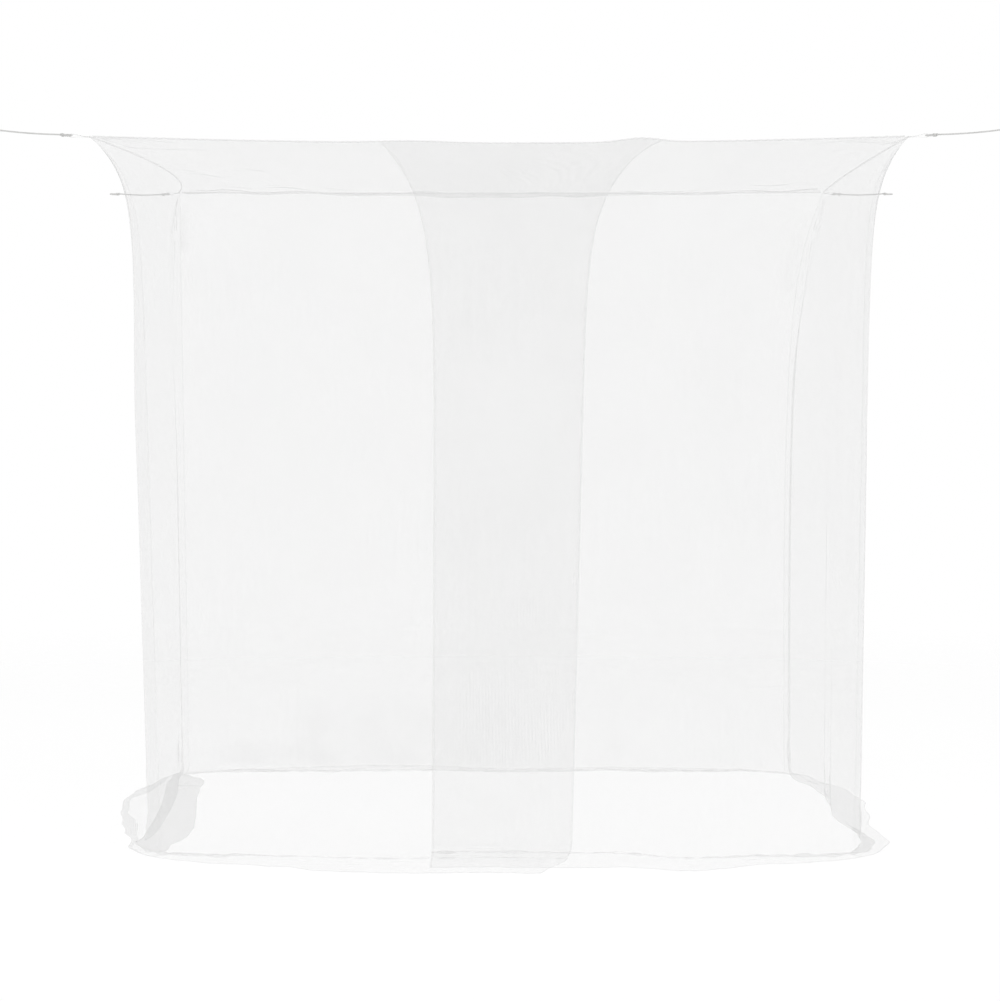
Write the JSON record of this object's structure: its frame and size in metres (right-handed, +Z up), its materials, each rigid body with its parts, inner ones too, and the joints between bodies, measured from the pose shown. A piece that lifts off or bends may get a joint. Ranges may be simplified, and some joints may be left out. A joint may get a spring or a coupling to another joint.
{
  "type": "hanging bed mosquito net",
  "caption": "Sheer white box net for a double bed, tied up at its four top corners, with an overlapped front doorway and its hem lying out on the floor.",
  "frame": {"origin": "on the floor, under the middle of the net", "axes": "+X to the right along the wide front, +Y to the back, +Z up"},
  "size_m": [2.9362, 2.6982, 2.1212],
  "materials": {
    "net": "sheer warp-knitted white polyester net with fine holes",
    "tape": "narrow woven white binding tape, stitched",
    "cord": "twisted white cotton cord, matt"
  },
  "bodies": {
    "root": {"roof_panel": "net", "wall_back": "net", "wall_left": "net", "wall_right": "net", "front_panel_left": "net", "front_panel_right": "net", "tape_front": "tape", "tape_right": "tape", "tape_back": "tape", "tape_left": "tape", "tab_frontLeft": "tape", "tab_frontRight": "tape", "tab_backRight": "tape", "tab_backLeft": "tape", "knot_frontLeft": "cord", "knot_frontRight": "cord", "knot_backRight": "cord", "knot_backLeft": "cord", "cord_frontLeft": "cord", "cord_frontRight": "cord", "cord_backRight": "cord", "cord_backLeft": "cord", "end_frontLeft": "cord", "end_frontRight": "cord", "end_backRight": "cord", "end_backLeft": "cord"}
  },
  "joints": []
}
